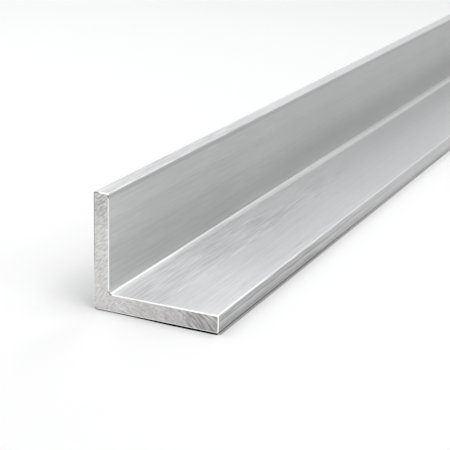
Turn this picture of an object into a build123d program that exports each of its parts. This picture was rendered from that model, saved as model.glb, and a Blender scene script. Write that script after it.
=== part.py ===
"""Solid aluminium angle section: two flat legs at a right angle, in one piece, sawn to stock length.

+Y runs along the stock, +X across the base leg towards its toe, and +Z up the upright leg.
The origin is the middle of the face that the base leg rests on. All sizes are in millimetres.
"""

import os

from build123d import *

# Legs, measured over the sharp corners of the section
base_leg_width = 45.0  # back of the upright leg to the toe of the base leg
base_leg_thickness = 6.0
upright_leg_height = 40.0  # underside of the base leg to the toe of the upright leg
upright_leg_thickness = 5.5

# Corner radii that the die leaves along the stock
root_radius = 1.0  # inside corner, where the legs meet
heel_radius = 0.5  # outside corner, behind the root
toe_radius = 0.5  # both corners of each toe

# Stock
stock_length = 1000.0  # from one sawn face to the other
deburr_width = 0.4  # 45 degree break filed round each sawn face


def section_corners():
    """Corners of the section as (x, z, radius), from the heel out along the base leg and round."""
    heel_x = -base_leg_width / 2
    root_x = heel_x + upright_leg_thickness
    base_toe_x = heel_x + base_leg_width
    return [
        (heel_x, 0.0, heel_radius),
        (base_toe_x, 0.0, toe_radius),
        (base_toe_x, base_leg_thickness, toe_radius),
        (root_x, base_leg_thickness, root_radius),
        (root_x, upright_leg_height, toe_radius),
        (heel_x, upright_leg_height, toe_radius),
    ]


def section():
    """The section as a flat face with its corners rounded: X across the base leg, Y up the upright leg."""
    corners = section_corners()
    face = make_face(Polyline([(x, z) for x, z, _ in corners], close=True))
    for x, z, radius in corners:
        sharp_corner = face.vertices().sort_by_distance((x, z))[0]
        face = fillet(sharp_corner, radius)
    return face


def angle_section():
    """The section drawn out to stock length, with the burr filed off round both sawn faces."""
    bar = extrude(Plane.XZ * section(), amount=stock_length / 2, both=True)
    sawn_faces = bar.faces().filter_by(Axis.Y)
    return chamfer(sawn_faces.edges(), deburr_width)


os.makedirs("parts", exist_ok=True)
export_step(angle_section(), "parts/angle_section.step")
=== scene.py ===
"""Looks of a solid aluminium angle section: mill-finish legs, sawn ends with filed edges, in a pale studio.

Everything is in metres, in the row frame: +Y runs along the stock, +X from the heel to the toe of the base
leg, and +Z up the upright leg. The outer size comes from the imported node, and the rest from named sizes.
"""

import logging
import math
from collections.abc import Iterator
from dataclasses import dataclass
from enum import Enum
from functools import partial, reduce

import bmesh
import bpy
from mathutils import Matrix, Vector, noise


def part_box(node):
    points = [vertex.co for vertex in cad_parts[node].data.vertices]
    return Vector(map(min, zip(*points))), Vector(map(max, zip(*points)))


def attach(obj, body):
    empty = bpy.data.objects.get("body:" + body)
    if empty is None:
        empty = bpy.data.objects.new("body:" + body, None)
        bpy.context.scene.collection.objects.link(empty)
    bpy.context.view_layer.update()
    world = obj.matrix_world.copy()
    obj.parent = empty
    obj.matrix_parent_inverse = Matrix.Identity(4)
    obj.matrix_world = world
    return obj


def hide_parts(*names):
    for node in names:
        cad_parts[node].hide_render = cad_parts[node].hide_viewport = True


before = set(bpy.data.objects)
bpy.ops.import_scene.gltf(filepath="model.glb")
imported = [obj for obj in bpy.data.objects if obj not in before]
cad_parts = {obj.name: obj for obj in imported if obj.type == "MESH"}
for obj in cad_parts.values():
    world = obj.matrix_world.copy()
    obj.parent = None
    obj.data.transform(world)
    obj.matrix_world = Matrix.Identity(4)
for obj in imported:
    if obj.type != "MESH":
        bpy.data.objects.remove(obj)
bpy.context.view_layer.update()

NODE = "angle_section"
BAKE_MAP = "OFBake"
SAW_ATTRIBUTE = "saw_mark"
FILED_ATTRIBUTE = "filed"
# drawn_tone: the metal's tone with its painted light and shade in it.
DRAWN_ATTRIBUTE = "drawn_tone"
STREAK_ATTRIBUTE = "streak_share"
ATTRIBUTES = (SAW_ATTRIBUTE, FILED_ATTRIBUTE, DRAWN_ATTRIBUTE, STREAK_ATTRIBUTE)
MM = 0.001
PER_METRE = 1000.0
FULL = (0.0, 1.0)
NOISE_RANGE = (0.3, 0.7)
# BLACK is the colour of the painted shadow on the floor.
BLACK = (0.0, 0.0, 0.0, 1.0)
WHITE = (1.0, 1.0, 1.0, 1.0)

log = logging.getLogger("angle_section")

Point = tuple[float, float]
Pair = tuple[float, float]
Colour = tuple[float, float, float, float]
Place = tuple[int, int]
Socket = bpy.types.NodeSocket
Feed = Socket | float | Colour
Mesh = bmesh.types.BMesh
Vert = bmesh.types.BMVert
Ring = list[Vert]
Layer = bmesh.types.BMLayerItem


class Finish(Enum):
    """The finishes on the stock, in the order of its material slots."""

    MILL = 0
    SAWN = 1
    FILED = 2


# ---- Section ----


def arc(centre: Point, start: float, end: float, radius: float, steps: int) -> list[Point]:
    """Points along an arc of the section.

    Args:
        centre: Centre of the arc as (x, z).
        start: Angle of the first point in degrees, from +X towards +Z.
        end: Angle of the last point in degrees.
        radius: Radius of the arc.
        steps: Number of spans between points.

    Returns:
        The points, with both ends included.
    """
    angles = [math.radians(start + (end - start) * k / steps) for k in range(steps + 1)]
    return [(centre[0] + radius * math.cos(a), centre[1] + radius * math.sin(a)) for a in angles]


def joined(runs: list[list[Point]], steps: list[int]) -> list[Point]:
    """Arcs joined into one path by straight, evenly divided runs.

    Args:
        runs: The arcs in order.
        steps: Number of spans on the straight run after each arc but the last.

    Returns:
        The whole path, with no point twice.
    """
    path = list(runs[0])
    for following, count in zip(runs[1:], steps):
        (x0, z0), (x1, z1) = path[-1], following[0]
        path += [(x0 + (x1 - x0) * k / count, z0 + (z1 - z0) * k / count) for k in range(1, count)]
        path += following
    return path


@dataclass(frozen=True)
class Section:
    """The angle's section, as a strip of square cells bent round the heel.

    A column of cells crosses the wall, and the columns run from the upright leg's toe round the heel to the
    base leg's toe. The rows run from the outside faces to the inside faces.
    """

    left: float
    right: float
    bottom: float
    top: float
    upright_thickness: float = 5.5 * MM
    base_thickness: float = 6.0 * MM
    root_radius: float = 1.0 * MM
    heel_radius: float = 0.5 * MM
    toe_radius: float = 0.5 * MM
    cell: float = 0.2 * MM
    bend_steps: int = 8
    corner_steps: int = 3
    toe_fade: float = 5.0 * MM

    @property
    def inner_x(self) -> float:
        """Place of the inside face of the upright leg."""
        return self.left + self.upright_thickness

    @property
    def inner_z(self) -> float:
        """Height of the top face of the base leg."""
        return self.bottom + self.base_thickness

    @property
    def upright_steps(self) -> int:
        """Number of cells along the upright leg's flat."""
        return round((self.top - self.bottom - self.toe_radius - self.heel_radius) / self.cell)

    @property
    def base_steps(self) -> int:
        """Number of cells along the base leg's flat."""
        return round((self.right - self.left - self.toe_radius - self.heel_radius) / self.cell)

    @property
    def wall_steps(self) -> int:
        """Number of cells across the flat of a toe."""
        return round((self.base_thickness - 2 * self.toe_radius) / self.cell)

    @property
    def columns(self) -> int:
        """Number of cells along the whole strip."""
        return self.upright_steps + self.base_steps + self.bend_steps + 2 * self.corner_steps

    @property
    def rows(self) -> int:
        """Number of cells across the wall."""
        return self.wall_steps + 2 * self.corner_steps

    def sides(self, inset: float) -> tuple[list[Point], ...]:
        """The four sides of the strip, with rounded corners.

        Args:
            inset: Distance that the outline is drawn in from the full section.

        Returns:
            The outside and the inside, from the upright leg's toe to the base leg's toe, and then the upright
            leg's toe and the base leg's toe, from the outside to the inside.
        """
        r, heel, root = self.toe_radius, self.heel_radius, self.root_radius
        back_top, front_top = (self.left + r, self.top - r), (self.inner_x - r, self.top - r)
        low_toe, high_toe = (self.right - r, self.bottom + r), (self.right - r, self.inner_z - r)
        on_heel = arc((self.left + heel, self.bottom + heel), 180, 270, heel - inset, self.bend_steps)
        on_root = arc((self.inner_x + root, self.inner_z + root), 180, 270, root + inset, self.bend_steps)
        corner = partial(arc, radius=r - inset, steps=self.corner_steps)
        legs, wall = [self.upright_steps, self.base_steps], [self.wall_steps]
        return (
            joined([corner(back_top, 135, 180), on_heel, corner(low_toe, 270, 315)], legs),
            joined([corner(front_top, 45, 0), on_root, corner(high_toe, 90, 45)], legs),
            joined([corner(back_top, 135, 90), corner(front_top, 90, 45)], wall),
            joined([corner(low_toe, -45, 0), corner(high_toe, 0, 45)], wall),
        )

    def rim(self) -> list[Place]:
        """Places round the section: outside, base toe, inside, upright toe.

        Returns:
            The (column, row) of each.
        """
        across, along = self.rows, self.columns
        places = [(i, 0) for i in range(along + 1)]
        places += [(along, j) for j in range(1, across + 1)]
        places += [(i, across) for i in range(along - 1, -1, -1)]
        places += [(0, j) for j in range(across - 1, 0, -1)]
        return places

    def grid(self, inset: float) -> dict[Place, Point]:
        """Points of the strip at every (column, row).

        Args:
            inset: Distance that the outline is drawn in from the full section.

        Returns:
            Each grid place with its (x, z). The rim follows the rounded outline exactly.
        """
        outside, inside, *toes = self.sides(inset)
        start, end = toes[0][0][0], toes[0][-1][0]
        shares = [(x - start) / (end - start) for x, _ in toes[0]]
        fade = round(self.toe_fade / self.cell)
        points = {}
        for i in range(self.columns + 1):
            for j, share in enumerate(shares):
                x = outside[i][0] + (inside[i][0] - outside[i][0]) * share
                z = outside[i][1] + (inside[i][1] - outside[i][1]) * share
                for toe, steps_away in ((0, i), (1, self.columns - i)):
                    pull = max(0.0, 1.0 - steps_away / fade)
                    column = self.columns * toe
                    chord_x = outside[column][0] + (inside[column][0] - outside[column][0]) * share
                    chord_z = outside[column][1] + (inside[column][1] - outside[column][1]) * share
                    x += (toes[toe][j][0] - chord_x) * pull
                    z += (toes[toe][j][1] - chord_z) * pull
                points[i, j] = (x, z)
        return points


# ---- Relief ----


def between(ends: Pair, share: float) -> float:
    """The value at a share of the way from the first end to the second."""
    return ends[0] + (ends[1] - ends[0]) * share


def noise_at(across: float, along: float, seed: float) -> float:
    """Smooth noise at a place in the pattern that the seed picks, about -1 to 1."""
    return noise.noise(Vector((across, along, seed)))


@dataclass(frozen=True)
class Fade:
    """A smooth change that is absent at one value and full at another, which may be the lower one."""

    absent: float
    full: float

    def at(self, value: float) -> float:
        """How much of the change is at a value, 0 to 1."""
        share = min(1.0, max(0.0, (value - self.absent) / (self.full - self.absent)))
        return share * share * (3.0 - 2.0 * share)


@dataclass(frozen=True)
class Hump:
    """A change that is full round its middle, out to the core's share of its reach, and gone past that."""

    middle: float
    reach: float
    core: float = 0.0

    def at(self, value: float) -> float:
        """How much of the change is at a value, 0 to 1."""
        return Fade(1.0, self.core).at(abs(value - self.middle) / self.reach)


@dataclass(frozen=True)
class DieLine:
    """A line along the whole toe face of the base leg: a die groove, or none, with a painted shade or
    highlight.
    """

    height: float
    width: float
    depth: float
    # Below 0 a painted shade in the groove, above 0 a painted highlight on its lip.
    shade: float

    def share(self, up: float) -> float:
        """How much of the line is at a height over the underside, 0 to 1."""
        return Hump(self.height, self.width / 2).at(up)


@dataclass(frozen=True)
class SawStrokes:
    """One sweep of the blade over part of a sawn end: arcs round a far centre, which is given from the heel.

    Each further noise has its scale across and along the arcs, and a seed that is added to the sweep's own.
    """

    centre: Point
    pitch: float
    stroke_length: float
    seed: float
    groove_pitch: float = 1.75 * MM
    groove_share: float = 0.42
    weights: Pair = (0.9, 1.1)
    fine_scale: Pair = (2.1, 1.7)
    fine_seed: float = 9.0
    wander: float = 0.9
    wander_scale: Pair = (0.4, 0.5)
    wander_seed: float = 17.0
    strength: Pair = (0.65, 0.9)
    strength_scale: Pair = (1.7, 0.8)
    strength_seed: float = 23.0

    def pattern(self, across: float, along: float, scale: Pair, seed: float) -> float:
        """Noise of this sweep at a place, about -1 to 1."""
        return noise_at(across * scale[0], along * scale[1], self.seed + seed)

    def at(self, out: float, up: float) -> Pair:
        """The marks of this sweep at a place on the face.

        Args:
            out: Distance out from the heel.
            up: Distance up from the heel.

        Returns:
            Height of the fine arcs, about -1 to 1, and depth of the evenly spaced grooves, 0 to 1.
        """
        radius = math.hypot(out - self.centre[0], up - self.centre[1])
        along = math.atan2(up - self.centre[1], out - self.centre[0]) * radius / self.stroke_length
        across, count = radius / self.pitch, radius / self.groove_pitch
        coarse = noise_at(across, along, self.seed)
        fine = self.pattern(across, along, self.fine_scale, self.fine_seed)
        count += self.wander * self.pattern(count, along, self.wander_scale, self.wander_seed)
        change = self.pattern(round(count), along, self.strength_scale, self.strength_seed)
        strength = min(1.0, max(0.0, self.strength[0] + self.strength[1] * change))
        groove = strength * Hump(round(count), self.groove_share / 2).at(count)
        return coarse * self.weights[0] + fine * self.weights[1], groove


@dataclass(frozen=True)
class Zoned:
    """A value at the heel, and what the upright leg's top, the base leg's middle and its toe add to it."""

    heel: float = 0.0
    top: float = 0.0
    middle: float = 0.0
    toe: float = 0.0

    def at(self, near_top: float, in_middle: float, near_toe: float) -> float:
        """The value at a place, from its share of each zone."""
        return self.heel + self.top * near_top + self.middle * in_middle + self.toe * near_toe


@dataclass(frozen=True)
class SawnEnd:
    """Relief that the saw leaves on one end: a sweep up the upright leg and one out along the base leg.

    The blade cuts cleanly over the heel and most of the upright leg, and the relief lies lower at its top and
    towards the toe of the base leg. The relief's height also sets the end's colour, so that it carries
    painted light and shade, darkest in the deep marks and in those lower zones. The top zone lies between
    shares of the height, and the other zones and the fades of the sweeps between shares of the width.
    """

    upright_strokes: SawStrokes
    base_strokes: SawStrokes
    section: Section
    top_zone: Fade = Fade(0.65, 0.9)
    middle_zone: Fade = Fade(0.12, 0.5)
    toe_zone: Fade = Fade(0.64, 0.88)
    base_fade: Fade = Fade(0.05, 0.25)
    upright_fade: Fade = Fade(0.3, 0.12)
    level: Zoned = Zoned(0.36, -0.30, -0.30, -0.70)
    bite: Zoned = Zoned(0.76, 0.12, -0.30, 0.08)
    base_grooves: Zoned = Zoned(middle=0.10, toe=2.70)
    upright_grooves: Zoned = Zoned(heel=0.10, top=0.60)
    pits: Zoned = Zoned(middle=0.65)
    pit_size: float = 0.55 * MM
    pit_seed: float = 31.0

    def mark(self, x: float, z: float) -> float:
        """Height of the relief at a place.

        Args:
            x: Place across the stock.
            z: Height of the place.

        Returns:
            -1 in the deepest marks to 1 on the ridges.
        """
        s = self.section
        out, up = x - s.left, z - s.bottom
        out_share = out / (s.right - s.left)
        near_toe = self.toe_zone.at(out_share)
        in_middle = self.middle_zone.at(out_share) * (1.0 - near_toe)
        zones = (self.top_zone.at(up / (s.top - s.bottom)), in_middle, near_toe)
        on_base = self.base_fade.at(out_share)
        on_upright = self.upright_fade.at(out_share)
        base_fine, base_groove = self.base_strokes.at(out, up)
        upright_fine, upright_groove = self.upright_strokes.at(out, up)
        height = self.bite.at(*zones) * (on_base * base_fine + on_upright * upright_fine)
        # Level of the relief, which also paints light at the heel and shade towards the top and the toe.
        height += self.level.at(*zones)
        height += self.pits.at(*zones) * noise_at(x / self.pit_size, z / self.pit_size, self.pit_seed)
        height -= self.base_grooves.at(*zones) * base_groove
        height -= self.upright_grooves.at(*zones) * on_upright * upright_groove
        return max(-1.0, min(1.0, height))


@dataclass(frozen=True)
class FiledEdge:
    """Where a file has brightened the edge of a sawn end. It misses the heel and the corners.

    Along the top it fades out towards the back, and up the back and the inside it grows dimmer; these fades
    are painted highlight and painted shade on the edge. Those places are shares of the wall and of the
    height.
    """

    section: Section
    corner_gap: float = 1.2 * MM
    lead: float = 0.5 * MM
    root_start: float = 0.6
    top_fade: Fade = Fade(0.25, 0.5)
    back: Pair = (0.6, 0.1)
    back_fade: Fade = Fade(0.25, 0.5)
    inside: Pair = (1.0, 0.8)

    def share(self, x: float, z: float) -> float:
        """How bright the edge is filed at a place on the rim of the full section.

        Args:
            x: Place across the stock.
            z: Height of the place.

        Returns:
            0 where it isn't filed to 1 where it is brightest.
        """
        s = self.section
        root_start = self.root_start * s.root_radius
        if z > s.top - s.toe_radius:
            return self.top_fade.at((x - s.left) / s.upright_thickness)
        if z < s.bottom + s.heel_radius:
            return Fade(s.heel_radius, s.heel_radius + self.lead).at(x - s.left)
        if x < s.inner_x - s.toe_radius:
            return between(self.back, self.back_fade.at((z - s.bottom) / (s.top - s.bottom)))
        if x < s.inner_x + self.lead and z > s.inner_z:
            below_top = Fade(self.corner_gap, self.corner_gap + self.lead).at(s.top - z)
            above_root = Fade(root_start, s.root_radius).at(z - s.inner_z)
            return below_top * above_root * between(self.inside, (z - s.inner_z) / (s.top - s.inner_z))
        return Fade(root_start, s.root_radius + self.lead).at(x - s.inner_x)


@dataclass(frozen=True)
class DrawnTone:
    """Tone of the drawn metal round the section, with painted light and shade: 0 dark, 1 light, 2 highlight.

    The first stretch of the stock has stronger scratches and its own painted light and shade, so that pairs
    of values are for the near end and for the far end. Each grain step goes with its row of the noise.
    """

    section: Section
    die_lines: tuple[DieLine, ...]
    plain: float = 0.5
    past_near_end: Fade = Fade(0.03, 0.20)
    # Near-end stretches where painted highlight, painted light and painted shade are laid on.
    shining: Hump = Hump(0.06, 0.06, 0.3)
    at_end: Fade = Fade(0.08, 0.0)
    toe_edge: float = 0.25
    # Toe face: its own tone lightened towards the far end with painted light, and painted shade at its foot.
    toe: Pair = (0.39, 0.56)
    toe_foot: Pair = (0.30, 0.14)
    foot_fade: Fade = Fade(2.2 * MM, 0.5 * MM)
    line_shares: Pair = (1.0, 0.35)
    # Painted highlight along the top of the toe corner.
    toe_shine: float = 0.42
    toe_shine_inset: Hump = Hump(0.575 * MM, 0.375 * MM, 0.4)
    # Beside the root: painted light and painted highlight (glow) on the base, painted shade on the fillet.
    root_band: float = 0.34
    band_fade: Fade = Fade(11.0 * MM, 0.0)
    root_glow: Pair = (0.40, 0.85)
    glow_place: Pair = (1.0 * MM, 2.8 * MM)
    glow_reach: Pair = (2.6 * MM, 2.1 * MM)
    glow_drift: Fade = Fade(0.05, 0.29)
    glow_core: float = 0.2
    glow_top_fade: Fade = Fade(0.45, 0.1)
    fillet_shade: Pair = (0.38, 0.30)
    fillet_rise: Fade = Fade(0.05, 0.30)
    fillet_fade: Fade = Fade(1.2, 0.9)
    # Painted highlight on the bend of the root.
    root_shine: float = 0.28
    bend_top_fade: Fade = Fade(0.6, 0.2)
    bend_out_fade: Fade = Fade(1.5 * MM, 0.9 * MM)
    # Painted shade on the top edge, the toe face and the top of the base just past the near end.
    top_dip: float = 0.15
    toe_dip: float = 0.08
    base_dip: float = 0.05
    base_dip_rise: Fade = Fade(0.1, 0.4)
    # Painted shade low on the upright leg by the root and in a line just below its top.
    low_shade: Pair = (0.03, 0.20)
    low_reach: Pair = (10.0 * MM, 16.0 * MM)
    rim_shade: Pair = (0.24, 0.12)
    rim_depth: float = 1.1 * MM
    rim_core: float = 0.3
    # Painted light at the very near end, and painted shade low on the upright there.
    base_lift: float = 0.23
    upright_lift: float = 0.12
    upright_lift_rise: Fade = Fade(0.4, 0.8)
    end_shade: float = 0.07
    end_shade_fade: Fade = Fade(0.5, 0.2)
    grain: Pair = (0.09, 0.045)
    grain_steps: tuple[Pair, ...] = ((0.11, 5.3), (0.63, 8.9))
    streak_shares: tuple[float, float, float] = (1.2, 0.05, 0.9)
    streak_fade: Fade = Fade(0.12, 0.20)
    streak_return: Fade = Fade(0.42, 0.58)
    upright_streaks: float = 0.33

    def at(self, k: int, x: float, z: float, along: float) -> float:
        """Tone at a place on the stock.

        Args:
            k: Number of the place round the section.
            x: Its place across the stock, on the full section.
            z: Its height, on the full section.
            along: Its distance from the near end.

        Returns:
            The tone.
        """
        s = self.section
        tone = self.plain
        if x > s.right - s.toe_radius * self.toe_edge:
            tone = self.on_toe(z - s.bottom, along)
        elif x > s.inner_x and s.bottom + s.base_thickness / 2 < z < s.inner_z + s.root_radius:
            tone += self.on_base(x - s.inner_x, z - s.inner_z, along)
        elif s.inner_x - s.toe_radius < x <= s.inner_x and z > s.inner_z:
            tone += self.on_upright(z - s.inner_z, along)
        # Painted shade on the top edge.
        if z > s.top - s.toe_radius:
            tone -= self.shining.at(along) * self.top_dip
        # Painted highlight along the top of the toe corner.
        if z > s.inner_z - s.toe_radius / 2 and x > s.inner_x + s.root_radius:
            tone += self.toe_shine * self.toe_shine_inset.at(s.right - x)
        grain = sum(noise_at(k * step, row, 0.0) for step, row in self.grain_steps)
        return tone + between(self.grain, self.past_near_end.at(along)) * grain

    def on_toe(self, up: float, along: float) -> float:
        """Tone of the toe face of the base leg, with its painted light and painted shade.

        Args:
            up: Height over the underside.
            along: Distance from the near end.

        Returns:
            The tone.
        """
        away = self.past_near_end.at(along)
        tone = between(self.toe, away) - between(self.toe_foot, away) * self.foot_fade.at(up)
        tone += between(self.line_shares, away) * sum(line.shade * line.share(up) for line in self.die_lines)
        return tone - self.shining.at(along) * self.toe_dip

    def on_base(self, out: float, up: float, along: float) -> float:
        """Painted light, highlight and shade added on the top of the base leg and at the root.

        Args:
            out: Distance out from the upright leg.
            up: Height over the base leg.
            along: Distance from the near end.

        Returns:
            What is added to the tone.
        """
        away, drift = self.past_near_end.at(along), self.glow_drift.at(along)
        steep = up / self.section.root_radius
        out_share = out / (self.section.right - self.section.inner_x)
        spread = Hump(between(self.glow_place, drift), between(self.glow_reach, drift), self.glow_core)
        # Painted light and painted highlight beside the root.
        glow = self.root_band * self.band_fade.at(out)
        glow += between(self.root_glow, away) * spread.at(out)
        on_fillet = self.fillet_rise.at(steep) * self.fillet_fade.at(steep)
        on_bend = self.bend_top_fade.at(steep) * self.bend_out_fade.at(out)
        tone = glow * self.glow_top_fade.at(steep) - between(self.fillet_shade, away) * on_fillet
        shine = self.root_shine * on_bend - self.base_dip * self.base_dip_rise.at(out_share)
        lift = self.base_lift * (1.0 - out_share)
        return tone + self.shining.at(along) * shine + self.at_end.at(along) * lift

    def on_upright(self, up: float, along: float) -> float:
        """Painted light and shade added on the inside of the upright leg.

        Args:
            up: Height over the base leg.
            along: Distance from the near end.

        Returns:
            What is added to the tone.
        """
        away, height = self.past_near_end.at(along), self.section.top - self.section.inner_z
        low_reach = between(self.low_reach, away)
        low = between(self.low_shade, away) * Fade(low_reach, low_reach / 2).at(up)
        rim_line = Hump(height - self.rim_depth, self.rim_depth, self.rim_core)
        lift = self.upright_lift * self.upright_lift_rise.at(up / height)
        lift -= self.end_shade * self.end_shade_fade.at(up / height)
        return self.at_end.at(along) * lift - low - between(self.rim_shade, away) * rim_line.at(up)

    def streaks(self, z: float, along: float) -> float:
        """Share of the full streaks, which are fainter on the upright leg and short of the middle.

        Args:
            z: Height of the place.
            along: Its distance from the near end.

        Returns:
            The share.
        """
        s = self.section
        near_end, short_of_middle, far_half = self.streak_shares
        share = between((near_end, short_of_middle), self.streak_fade.at(along))
        share = between((share, far_half), self.streak_return.at(along))
        on_upright = s.inner_z < z < s.top - s.toe_radius / 2
        return share * (self.upright_streaks if on_upright else 1.0)


# ---- Stock ----


@dataclass
class AngleStock:
    """The whole angle as one closed mesh: long faces, filed edges and two sawn ends."""

    section: Section
    near: float
    far: float
    deburr_width: float = 0.36 * MM
    deburr_depth: float = 0.24 * MM
    break_steps: int = 4
    spans: int = 20
    saw_depth: float = 0.03 * MM
    near_sweeps: tuple[SawStrokes, SawStrokes] = (
        SawStrokes((100.0 * MM, -110.0 * MM), 0.38 * MM, 2.5 * MM, 1.0, 1.15 * MM, 0.6),
        SawStrokes((-6.0 * MM, -49.0 * MM), 0.50 * MM, 4.5 * MM, 4.0, 1.4 * MM),
    )
    far_sweeps: tuple[SawStrokes, SawStrokes] = (
        SawStrokes((120.0 * MM, -90.0 * MM), 0.38 * MM, 2.5 * MM, 21.0, 1.15 * MM, 0.6),
        SawStrokes((-4.0 * MM, -52.0 * MM), 0.50 * MM, 4.5 * MM, 24.0, 1.4 * MM),
    )
    # The upper line is a groove with painted shade, and the lower one only a painted highlight on its lip.
    die_lines: tuple[DieLine, ...] = (
        DieLine(3.85 * MM, 0.80 * MM, 0.04 * MM, -0.30),
        DieLine(3.05 * MM, 0.70 * MM, 0.0, 0.30),
    )
    scratch_depth: float = 0.0015 * MM
    scratch_step: float = 0.83
    scratch_seed: float = 3.1
    sharp_angle: float = 40.0
    long_map: tuple[Pair, Pair] = ((0.005, 0.995), (0.40, 0.99))
    end_maps: tuple[Point, Point] = ((0.02, 0.01), (0.52, 0.01))
    end_map_scale: float = 8.6

    def break_profile(self) -> list[Point]:
        """The filed edge, from the long faces to the sawn face.

        Returns:
            The inset and the distance from the end at each step.
        """
        quarter = [math.radians(90 * k / self.break_steps) for k in range(self.break_steps + 1)]
        width, depth = self.deburr_width, self.deburr_depth
        return [(width * (1 - math.cos(a)), depth * (1 - math.sin(a))) for a in quarter]

    def relief(self, outline: list[Point]) -> list[float]:
        """Depth of the die lines and of the fine drawing scratches.

        Args:
            outline: The places round the section.

        Returns:
            The depth at each place.
        """
        depths = []
        for k, (x, z) in enumerate(outline):
            depth = self.scratch_depth * (1.0 + noise_at(k * self.scratch_step, self.scratch_seed, 0.0))
            if x > self.section.right - self.section.toe_radius:
                depth += sum(line.depth * line.share(z - self.section.bottom) for line in self.die_lines)
            depths.append(depth)
        return depths

    def rings(self) -> Iterator[Point]:
        """Every ring along the stock, from the near end to the far end.

        Yields:
            Its place along the stock and its inset.
        """
        profile = self.break_profile()
        for inset, back in reversed(profile):
            yield self.near + back, inset
        start, end = self.near + profile[0][1], self.far - profile[0][1]
        for k in range(1, self.spans):
            yield start + (end - start) * k / self.spans, 0.0
        for inset, back in profile:
            yield self.far - back, inset

    def build(self) -> bpy.types.Object:
        """Builds the mesh with its sharp edges, attributes and bake map.

        Returns:
            The object, linked to the scene.
        """
        bm = bmesh.new()
        bake = bm.loops.layers.uv.new(BAKE_MAP)
        saw, filed, drawn, streak = (bm.verts.layers.float.new(name) for name in ATTRIBUTES)
        places = self.section.rim()
        full = self.section.grid(0.0)
        outline = [full[place] for place in places]
        depths = self.relief(outline)
        rings = list(self.rings())
        rows = [self.ring(bm, y, inset, places, depths) for y, inset in rings]
        self.long_faces(bm, rows, rings, bake)
        for sweeps, row, sign in ((self.near_sweeps, rows[0], -1), (self.far_sweeps, rows[-1], 1)):
            self.end_face(bm, SawnEnd(*sweeps, self.section), dict(zip(places, row)), sign, saw, bake)
        edge, tone = FiledEdge(self.section), DrawnTone(self.section, self.die_lines)
        # Per vertex: filed share and tone, both with painted light and shade in them, and the streak share.
        for k, (x, z) in enumerate(outline):
            for row, (y, _) in zip(rows, rings):
                row[k][filed] = edge.share(x, z)
                row[k][drawn] = tone.at(k, x, z, y - self.near)
                row[k][streak] = tone.streaks(z, y - self.near)
        bm.normal_update()
        mesh = bpy.data.meshes.new("angle_stock")
        bm.to_mesh(mesh)
        bm.free()
        mesh.shade_smooth()
        mesh.set_sharp_from_angle(angle=math.radians(self.sharp_angle))
        stock = bpy.data.objects.new("angle_stock", mesh)
        bpy.context.scene.collection.objects.link(stock)
        return stock

    def ring(self, bm: Mesh, y: float, inset: float, places: list[Place], depths: list[float]) -> Ring:
        """One ring of vertices round the section.

        Args:
            bm: The mesh being built.
            y: Place along the stock.
            inset: Distance that the ring is drawn in from the full section.
            places: Grid places round the section.
            depths: Depth of the relief at each place.

        Returns:
            The new vertices in order.
        """
        grid = self.section.grid(inset)
        outline = [Vector(grid[place]) for place in places]
        verts = []
        for k, here in enumerate(outline):
            tangent = outline[(k + 1) % len(outline)] - outline[k - 1]
            inward = Vector((-tangent.y, tangent.x)).normalized()
            x, z = here + inward * depths[k]
            verts.append(bm.verts.new((x, y, z)))
        return verts

    def long_faces(self, bm: Mesh, rows: list[Ring], rings: list[Point], bake: Layer) -> None:
        """Quads between the rings, with their finish and their place in the bake map.

        Args:
            bm: The mesh being built.
            rows: The vertices of each ring.
            rings: Place along the stock and inset of each ring.
            bake: Map layer.
        """
        count = len(rows[0])
        last = len(rows) - 1
        for r in range(last):
            edge = r < self.break_steps or r >= last - self.break_steps
            for k in range(count):
                n = (k + 1) % count
                face = bm.faces.new((rows[r][k], rows[r][n], rows[r + 1][n], rows[r + 1][k]))
                face.material_index = (Finish.FILED if edge else Finish.MILL).value
                for loop, (ring, place) in zip(face.loops, ((r, k), (r, k + 1), (r + 1, k + 1), (r + 1, k))):
                    along = (rings[ring][0] - self.near) / (self.far - self.near)
                    u, v = between(self.long_map[0], along), between(self.long_map[1], place / count)
                    loop[bake].uv = (u, v)

    def end_face(
        self, bm: Mesh, end: SawnEnd, verts: dict[Place, Vert], sign: int, saw: Layer, bake: Layer
    ) -> None:
        """The sawn face that closes one end.

        Args:
            bm: The mesh being built.
            end: Relief of this end.
            verts: The last ring of vertices, which the face shares, by grid place.
            sign: -1 at the near end and 1 at the far end.
            saw: Vertex layer that keeps the height of the saw marks.
            bake: Map layer.
        """
        y_end = self.near if sign < 0 else self.far
        map_left, map_bottom = self.end_maps[0 if sign < 0 else 1]
        for place, (x, z) in self.section.grid(self.deburr_width).items():
            vert = verts.get(place) or bm.verts.new((x, y_end, z))
            verts[place] = vert
            mark = end.mark(vert.co.x, vert.co.z)
            vert[saw] = mark
            vert.co.y = y_end - sign * self.saw_depth * (1.0 - mark) / 2
        for i in range(self.section.columns):
            for j in range(self.section.rows):
                corners = [verts[i, j], verts[i + 1, j], verts[i + 1, j + 1], verts[i, j + 1]]
                if sign > 0:
                    corners.reverse()
                face = bm.faces.new(corners)
                face.material_index = Finish.SAWN.value
                for loop in face.loops:
                    u = map_left + (loop.vert.co.x - self.section.left) * self.end_map_scale
                    v = map_bottom + (loop.vert.co.z - self.section.bottom) * self.end_map_scale
                    loop[bake].uv = (u, v)


# ---- Finishes ----


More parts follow.
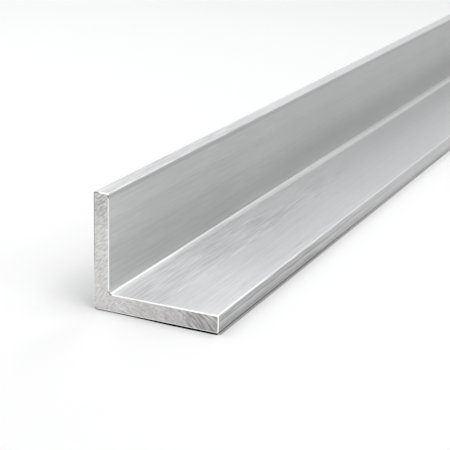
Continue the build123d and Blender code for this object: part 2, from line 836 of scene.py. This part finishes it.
class NodeTree:
    """Small helper that adds and joins nodes in one tree.

    The names of a Mix node's sockets repeat, so that its colours go by number.
    """

    MIX_COLOURS = (6, 7)
    MIX_RESULT = 2

    def __init__(self, tree: bpy.types.NodeTree) -> None:
        """Keeps the tree to work on."""
        self.tree = tree

    def add(self, kind: str, **settings: object) -> bpy.types.Node:
        """Adds a node.

        Args:
            kind: Blender's name of the node type.
            **settings: Properties of the node to set.

        Returns:
            The new node.
        """
        node = self.tree.nodes.new(kind)
        for name, value in settings.items():
            setattr(node, name, value)
        return node

    def feed(self, socket: Socket, value: Feed) -> None:
        """Gives a socket its value.

        Args:
            socket: The input to feed.
            value: A socket to join it to, or a plain value to set.
        """
        if isinstance(value, bpy.types.NodeSocket):
            self.tree.links.new(value, socket)
        else:
            socket.default_value = value

    def math(self, operation: str, first: Feed, second: Feed) -> Socket:
        """A Math node.

        Args:
            operation: Blender's name of the operation.
            first: The first value.
            second: The second value.

        Returns:
            The result.
        """
        node = self.add("ShaderNodeMath", operation=operation)
        self.feed(node.inputs[0], first)
        self.feed(node.inputs[1], second)
        return node.outputs[0]

    def product(self, *factors: Feed) -> Socket:
        """Two or more values multiplied together."""
        return reduce(partial(self.math, "MULTIPLY"), factors)

    def blend(self, factor: Feed, first: Feed, second: Feed) -> Socket:
        """A mix of two colours.

        Args:
            factor: 0 for the first colour and 1 for the second.
            first: The first colour.
            second: The second colour.

        Returns:
            The mixed colour.
        """
        node = self.add("ShaderNodeMix", data_type="RGBA")
        self.feed(node.inputs["Factor"], factor)
        for number, colour in zip(self.MIX_COLOURS, (first, second)):
            self.feed(node.inputs[number], colour)
        return node.outputs[self.MIX_RESULT]

    def span(self, value: Feed, start: Pair, end: tuple[Feed, Feed], smooth: bool = False) -> Socket:
        """A value carried from one range to another, and held at the ends.

        Args:
            value: The value to carry.
            start: Range that it comes from.
            end: Range that it goes to.
            smooth: Whether it eases in and out.

        Returns:
            The new value.
        """
        node = self.add("ShaderNodeMapRange", interpolation_type="SMOOTHSTEP" if smooth else "LINEAR")
        self.feed(node.inputs["Value"], value)
        for name, number in zip(("From Min", "From Max", "To Min", "To Max"), (*start, *end)):
            self.feed(node.inputs[name], number)
        return node.outputs["Result"]

    def attribute(self, name: str) -> Socket:
        """The value of a vertex attribute."""
        return self.add("ShaderNodeAttribute", attribute_name=name).outputs["Fac"]


def around(middle: float, swing: float) -> Pair:
    """The range that lies a swing to both sides of a middle."""
    return middle - swing, middle + swing


def drawn_noise_group() -> bpy.types.NodeTree:
    """Node group for noise that can be drawn out along the stock: fine streaks, or clouds of tone.

    Returns:
        A group that takes the width and length of one patch in millimetres and the roughness of the noise,
        and gives its height, 0 to 1.
    """
    group = bpy.data.node_groups.new("drawn_noise", "ShaderNodeTree")
    for label, value in (("Width mm", 40.0), ("Length mm", 40.0), ("Roughness", 0.5)):
        group.interface.new_socket(label, in_out="INPUT", socket_type="NodeSocketFloat").default_value = value
    group.interface.new_socket("Height", in_out="OUTPUT", socket_type="NodeSocketFloat")
    tree = NodeTree(group)
    given = tree.add("NodeGroupInput").outputs
    across = tree.math("DIVIDE", PER_METRE, given["Width mm"])
    along = tree.math("DIVIDE", PER_METRE, given["Length mm"])
    scale = tree.add("ShaderNodeCombineXYZ")
    for socket, value in zip(scale.inputs, (across, along, across)):
        tree.feed(socket, value)
    stretched = tree.add("ShaderNodeVectorMath", operation="MULTIPLY")
    tree.feed(stretched.inputs[0], tree.add("ShaderNodeTexCoord").outputs["Object"])
    tree.feed(stretched.inputs[1], scale.outputs[0])
    texture = tree.add("ShaderNodeTexNoise")
    tree.feed(texture.inputs["Vector"], stretched.outputs[0])
    for name, value in (("Scale", 1.0), ("Detail", 2.0), ("Roughness", given["Roughness"])):
        tree.feed(texture.inputs[name], value)
    tree.feed(tree.add("NodeGroupOutput").inputs["Height"], texture.outputs["Fac"])
    return group


@dataclass(frozen=True)
class Patches:
    """One kind of noise on the metal: width and length of a patch in millimetres, swing and roughness."""

    width: float
    length: float
    swing: float
    roughness: float = 0.5

    def place(self, tree: NodeTree, group: bpy.types.NodeTree) -> Socket:
        """Puts the noise into a material.

        Args:
            tree: The material's tree.
            group: The group that makes the noise.

        Returns:
            Its height, 0 to 1.
        """
        node = tree.add("ShaderNodeGroup", node_tree=group)
        sizes = {"Width mm": self.width, "Length mm": self.length, "Roughness": self.roughness}
        for name, value in sizes.items():
            node.inputs[name].default_value = value
        return node.outputs[0]


def metal(name: str) -> tuple[bpy.types.Material, NodeTree, bpy.types.Node]:
    """A new material that is all metal.

    Args:
        name: Name of the material.

    Returns:
        The material, its tree and its Principled BSDF.
    """
    material = bpy.data.materials.new(name)
    material.use_nodes = True
    tree = NodeTree(material.node_tree)
    shader = material.node_tree.nodes["Principled BSDF"]
    shader.inputs["Metallic"].default_value = 1.0
    return material, tree, shader


@dataclass(frozen=True)
class MillFinish:
    """Faces as the die leaves them: satin grey with fine lines along the stock, and painted highlights at
    corners.
    """

    painted_highlight: Colour = (0.950, 0.950, 0.945, 1.0)
    light: Colour = (0.655, 0.658, 0.662, 1.0)
    dark: Colour = (0.300, 0.300, 0.300, 1.0)
    roughness: float = 0.45
    rough_swing: float = 0.05
    anisotropy: float = 0.75
    streak_height: float = 0.003 * MM
    streaks: tuple[Patches, ...] = (
        Patches(width=0.30, length=16.0, swing=0.500, roughness=0.55),
        Patches(width=0.32, length=14.0, swing=0.500, roughness=0.55),
        Patches(width=0.60, length=60.0, swing=0.125, roughness=0.55),
    )
    clouds: Patches = Patches(width=55.0, length=55.0, swing=0.08)

    def material(self, group: bpy.types.NodeTree) -> bpy.types.Material:
        """Builds the material.

        Args:
            group: The shared noise.

        Returns:
            The material.
        """
        material, tree, shader = metal("mill_aluminium")
        lines, patterns = 0.0, [kind.place(tree, group) for kind in self.streaks]
        for kind, pattern in zip(self.streaks, patterns):
            lines = tree.math("ADD", lines, tree.span(pattern, FULL, around(0.0, kind.swing)))
        lines = tree.product(lines, tree.attribute(STREAK_ATTRIBUTE))
        tone = tree.math("ADD", tree.attribute(DRAWN_ATTRIBUTE), lines)
        clouds = tree.span(self.clouds.place(tree, group), FULL, around(0.0, self.clouds.swing))
        tone = tree.math("ADD", tone, clouds)
        # The tone holds painted light and shade; above 1 it goes to the painted highlight colour.
        drawn = tree.blend(tone, self.dark, self.light)
        drawn = tree.blend(tree.math("SUBTRACT", tone, 1.0), drawn, self.painted_highlight)
        tree.feed(shader.inputs["Base Color"], drawn)
        rough = tree.span(patterns[0], NOISE_RANGE, around(self.roughness, self.rough_swing))
        tree.feed(shader.inputs["Roughness"], rough)
        tangent = tree.add("ShaderNodeTangent", direction_type="RADIAL", axis="Y")
        tree.feed(shader.inputs["Tangent"], tangent.outputs[0])
        shader.inputs["Anisotropic"].default_value = self.anisotropy
        bump = tree.add("ShaderNodeBump")
        bump.inputs["Distance"].default_value = self.streak_height
        tree.feed(bump.inputs["Height"], patterns[0])
        tree.feed(shader.inputs["Normal"], bump.outputs[0])
        return material


@dataclass(frozen=True)
class SawnFinish:
    """Sawn ends: coarser and slightly warm, with painted shade in the deep marks and towards the toe."""

    ridge: Colour = (0.812, 0.806, 0.792, 1.0)
    groove: Colour = (0.293, 0.290, 0.283, 1.0)
    roughness: float = 0.52
    rough_swing: float = 0.06
    specks: Patches = Patches(width=0.7, length=0.7, swing=0.10)

    def material(self, group: bpy.types.NodeTree) -> bpy.types.Material:
        """Builds the material.

        Args:
            group: The shared noise.

        Returns:
            The material.
        """
        material, tree, shader = metal("sawn_aluminium")
        speck = self.specks.place(tree, group)
        # The saw relief's height sets the colour: its low places get painted shade.
        height = tree.span(tree.attribute(SAW_ATTRIBUTE), (-1.0, 1.0), FULL)
        tone = tree.math("ADD", height, tree.span(speck, NOISE_RANGE, around(0.0, self.specks.swing)))
        tree.feed(shader.inputs["Base Color"], tree.blend(tone, self.groove, self.ridge))
        rough = tree.span(speck, NOISE_RANGE, around(self.roughness, self.rough_swing))
        tree.feed(shader.inputs["Roughness"], rough)
        return material


@dataclass(frozen=True)
class FiledFinish:
    """The edge break round each sawn end: freshly cut and bright where it is filed, and dull elsewhere."""

    bright: Colour = (0.950, 0.950, 0.945, 1.0)
    dull: Colour = (0.200, 0.198, 0.194, 1.0)
    roughness: float = 0.315
    under_roughness: float = 0.60
    under_fade: Pair = (-0.7, -0.1)
    file_marks: Patches = Patches(width=1.5, length=1.5, swing=0.065)

    def material(self, group: bpy.types.NodeTree) -> bpy.types.Material:
        """Builds the material.

        Args:
            group: The shared noise.

        Returns:
            The material.
        """
        material, tree, shader = metal("filed_aluminium")
        # The filed share picks the colour; its fades place painted highlight and painted shade on the edge.
        colour = tree.blend(tree.attribute(FILED_ATTRIBUTE), self.dull, self.bright)
        tree.feed(shader.inputs["Base Color"], colour)
        marks = self.file_marks.place(tree, group)
        rough = tree.span(marks, NOISE_RANGE, around(self.roughness, self.file_marks.swing))
        facing = tree.add("ShaderNodeSeparateXYZ")
        tree.feed(facing.inputs[0], tree.add("ShaderNodeNewGeometry").outputs["Normal"])
        below = tree.span(facing.outputs["Z"], self.under_fade, (self.under_roughness, 0.0))
        tree.feed(shader.inputs["Roughness"], tree.math("ADD", rough, below))
        return material


# ---- Studio ----


def seen_directly(tree: NodeTree) -> Socket:
    """Which rays show the background.

    Args:
        tree: The tree that asks.

    Returns:
        1 for camera, glossy and transmission rays, and 0 for the rest.
    """
    path = tree.add("ShaderNodeLightPath")
    seen = tree.math("MAXIMUM", path.outputs["Is Camera Ray"], path.outputs["Is Glossy Ray"])
    return tree.math("MAXIMUM", seen, path.outputs["Is Transmission Ray"])


@dataclass(frozen=True)
class SoftBox:
    """A large soft lamp that faces the stock."""

    name: str
    azimuth: float
    elevation: float
    distance: float
    size: float
    power: float
    colour: tuple[float, float, float] = (1.0, 1.0, 1.0)

    def hang(self, target: Vector) -> None:
        """Hangs the lamp at its bearing, with its azimuth in degrees from +Y towards +X.

        Args:
            target: The place that it faces.
        """
        a, e = math.radians(self.azimuth), math.radians(self.elevation)
        away = Vector((math.sin(a) * math.cos(e), math.cos(a) * math.cos(e), math.sin(e)))
        data = bpy.data.lights.new(self.name, "AREA")
        data.size, data.energy, data.color = self.size, self.power, self.colour
        lamp = bpy.data.objects.new(self.name, data)
        lamp.location = target + away * self.distance
        lamp.rotation_euler = away.to_track_quat("Z", "Y").to_euler()
        lamp.visible_camera = False
        bpy.context.scene.collection.objects.link(lamp)


@dataclass(frozen=True)
class Studio:
    """A pale floor, an even white surround, soft lamps and the camera, round stock from low to high.

    An inset is how far the painted black shadow on the floor keeps inside an edge of the stock, at both ends
    of its own fade. A shade is the darkness and reach of a soft painted shadow on the floor past an edge. The
    rim fade is in shares of the floor's reach, and the near inset's fade and the near shades' rise are in
    shares of the stock's width.
    """

    low: Vector
    high: Vector
    floor_colour: Colour = (0.90, 0.90, 0.90, 1.0)
    floor_reach: float = 2.6
    floor_segments: int = 96
    rim_fade: Pair = (0.45, 0.98)
    clear_fade: Pair = (0.62, 1.25)
    floor_gap: float = 0.3 * MM
    # Where the painted shadow on the floor lies: insets of its black part, darkness and reach of its soft
    # parts.
    plain_inset: float = 0.2 * MM
    near_inset: Pair = (0.6 * MM, -0.50 * MM)
    near_inset_fade: Pair = (0.03, 0.62)
    toe_inset: Pair = (0.2 * MM, 0.45 * MM)
    toe_inset_fade: Pair = (0.08, 0.22)
    near_shades: tuple[Pair, ...] = ((0.12, 2.0 * MM), (0.09, 6.0 * MM))
    near_shade_rise: float = 0.5
    toe_shades: tuple[Pair, ...] = ((0.68, 1.20 * MM), (0.12, 5.0 * MM), (0.03, 30.0 * MM))
    corner_blur: float = 0.25
    surround: float = 0.234
    aim_depth: float = 0.10
    boxes: tuple[SoftBox, ...] = (
        SoftBox("low_back_box", -10.0, 20.0, 3.0, 1.2, 0.64, (0.88, 0.94, 1.0)),
        SoftBox("low_left_box", -25.0, 20.0, 3.0, 1.2, 1.04, (0.88, 0.94, 1.0)),
        SoftBox("back_spot", -6.0, 38.0, 2.0, 0.3, 2.50, (0.95, 0.975, 1.0)),
        SoftBox("edge_spot", 4.0, 46.0, 2.0, 0.3, 2.70),
        SoftBox("left_box", -60.0, 48.0, 0.9, 0.5, 1.63),
        SoftBox("far_left_box", -110.0, 48.0, 0.9, 0.5, 1.37),
        SoftBox("front_box", 120.0, 48.0, 0.9, 0.5, 2.80),
        SoftBox("right_box", 60.0, 25.0, 0.9, 0.4, 0.56),
        SoftBox("top_box", 60.0, 68.0, 3.0, 1.6, 29.5),
    )
    camera_offset: tuple[float, float, float] = (0.21049, -0.35459, 0.16617)
    camera_azimuth: float = 24.833
    camera_elevation: float = 18.387
    camera_roll: float = 1.407
    lens: float = 107.92
    clip: Pair = (0.01, 100.0)

    def floor(self) -> bpy.types.Object:
        """A round white floor with painted shadow under the stock and softly past its near end and toe.

        It fades out at its rim, and sooner for the rays that show the background.

        Returns:
            The floor's object.
        """
        bm = bmesh.new()
        bmesh.ops.create_circle(bm, cap_ends=True, segments=self.floor_segments, radius=self.floor_reach)
        mesh = bpy.data.meshes.new("floor")
        bm.to_mesh(mesh)
        bm.free()
        floor = bpy.data.objects.new("floor", mesh)
        floor.location.z = self.low.z - self.floor_gap
        bpy.context.scene.collection.objects.link(floor)
        material = bpy.data.materials.new("floor_white")
        material.use_nodes = True
        tree = NodeTree(material.node_tree)
        material.node_tree.nodes.clear()
        place = tree.add("ShaderNodeTexCoord").outputs["Object"]
        painted_shadow = self.painted_shadow(tree, place)
        matte = tree.add("ShaderNodeBsdfDiffuse")
        # The floor's colour goes to black under the painted shadow.
        tree.feed(matte.inputs["Color"], tree.blend(painted_shadow, self.floor_colour, BLACK))
        reach = tree.add("ShaderNodeVectorMath", operation="LENGTH")
        tree.feed(reach.inputs[0], place)
        rim_fade = (self.rim_fade[0] * self.floor_reach, self.rim_fade[1] * self.floor_reach)
        fade = tree.span(reach.outputs["Value"], rim_fade, FULL)
        clear = tree.span(reach.outputs["Value"], self.clear_fade, FULL, smooth=True)
        fade = tree.math("MAXIMUM", fade, tree.product(clear, seen_directly(tree)))
        mixed = tree.add("ShaderNodeMixShader")
        tree.feed(mixed.inputs[0], fade)
        tree.feed(mixed.inputs[1], matte.outputs[0])
        tree.feed(mixed.inputs[2], tree.add("ShaderNodeBsdfTransparent").outputs[0])
        tree.feed(tree.add("ShaderNodeOutputMaterial").inputs["Surface"], mixed.outputs[0])
        mesh.materials.append(material)
        return floor

    def painted_shadow(self, tree: NodeTree, place: Socket) -> Socket:
        """Painted shadow on the floor for camera rays: under the stock, and softly past its near end and toe.

        Args:
            tree: The floor material's tree.
            place: Place on the floor.

        Returns:
            The mask, 1 where the floor is painted black as shadow.
        """
        low, high = self.low, self.high
        split = tree.add("ShaderNodeSeparateXYZ")
        tree.feed(split.inputs[0], place)
        x, y = split.outputs[0], split.outputs[1]
        width = high.x - low.x
        near_fade = tuple(low.x + share * width for share in self.near_inset_fade)
        toe_fade = tuple(low.y + along for along in self.toe_inset_fade)
        near_edge = tree.math("ADD", tree.span(x, near_fade, self.near_inset), low.y)
        toe_edge = tree.span(y, toe_fade, tuple(high.x - inset for inset in self.toe_inset))
        past_near = tree.math("GREATER_THAN", y, near_edge)
        past_heel = tree.math("GREATER_THAN", x, low.x + self.plain_inset)
        # Painted black shadow under the stock.
        mask = tree.product(past_near, past_heel, tree.math("LESS_THAN", x, toe_edge))
        beside, before = 0.0, 0.0
        # Soft painted shadows on the floor past the toe and past the near end.
        for shade, reach in self.toe_shades:
            soft = tree.span(x, (high.x, high.x + reach), (shade, 0.0), smooth=True)
            corner = tree.span(y, around(low.y, reach * self.corner_blur), FULL)
            beside = tree.math("ADD", beside, tree.product(soft, corner))
        for shade, reach in self.near_shades:
            soft = tree.span(y, (low.y - reach, low.y), (0.0, shade), smooth=True)
            corner = tree.span(x, around(high.x, reach * self.corner_blur), (1.0, 0.0))
            before = tree.math("ADD", before, tree.product(soft, corner))
        beside = tree.product(beside, tree.math("GREATER_THAN", x, high.x))
        rise = tree.span(x, (low.x, low.x + self.near_shade_rise * width), FULL)
        before = tree.product(before, rise, tree.math("LESS_THAN", y, low.y))
        painted_shadow = tree.math("MAXIMUM", mask, tree.math("MAXIMUM", beside, before))
        short_of_far = tree.math("LESS_THAN", y, high.y - self.plain_inset)
        return tree.product(painted_shadow, short_of_far, tree.add("ShaderNodeLightPath").outputs["Is Camera Ray"])

    def world(self) -> None:
        """A white background with a softer, even light from all round."""
        world = bpy.data.worlds.new("surround")
        bpy.context.scene.world = world
        world.use_nodes = True
        tree = NodeTree(world.node_tree)
        background = world.node_tree.nodes["Background"]
        background.inputs["Color"].default_value = WHITE
        strength = tree.span(seen_directly(tree), FULL, (self.surround, 1.0))
        tree.feed(background.inputs["Strength"], strength)

    def camera(self) -> None:
        """Sets up the camera from its bearing and its distance from the near end of the heel."""
        a, e, roll = (math.radians(v) for v in (self.camera_azimuth, self.camera_elevation, self.camera_roll))
        back = Vector((math.sin(a) * math.cos(e), -math.cos(a) * math.cos(e), math.sin(e)))
        level = Vector((0, 0, 1)).cross(back).normalized()
        rise = back.cross(level)
        right = level * math.cos(roll) + rise * math.sin(roll)
        up = back.cross(right)
        data = bpy.data.cameras.new("camera")
        data.lens = self.lens
        data.clip_start, data.clip_end = self.clip
        camera = bpy.data.objects.new("camera", data)
        turn = Matrix((right, up, back)).transposed().to_4x4()
        camera.matrix_world = Matrix.Translation(self.low + Vector(self.camera_offset)) @ turn
        bpy.context.scene.collection.objects.link(camera)
        bpy.context.scene.camera = camera

    def set_up(self) -> None:
        """Builds the floor, surround, lamps and camera."""
        self.floor()
        self.world()
        for box in self.boxes:
            box.hang(Vector((0.0, self.low.y + self.aim_depth, 0.0)))
        self.camera()
        bpy.context.scene.view_settings.view_transform = "Standard"


def main() -> None:
    """Builds the stock and the studio, and reports each piece."""
    logging.basicConfig(level=logging.INFO, format="%(name)s: %(message)s")
    low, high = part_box(NODE)
    section = Section(left=low.x, right=high.x, bottom=low.z, top=high.z)
    stock = AngleStock(section=section, near=low.y, far=high.y).build()
    group = drawn_noise_group()
    finishes = {Finish.MILL: MillFinish(), Finish.SAWN: SawnFinish(), Finish.FILED: FiledFinish()}
    for finish in Finish:
        stock.data.materials.append(finishes[finish].material(group))
    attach(stock, "root")
    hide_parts(NODE)
    log.info("%s: %d faces", stock.name, len(stock.data.polygons))
    Studio(low, high).set_up()


if __name__ == "__main__":
    main()
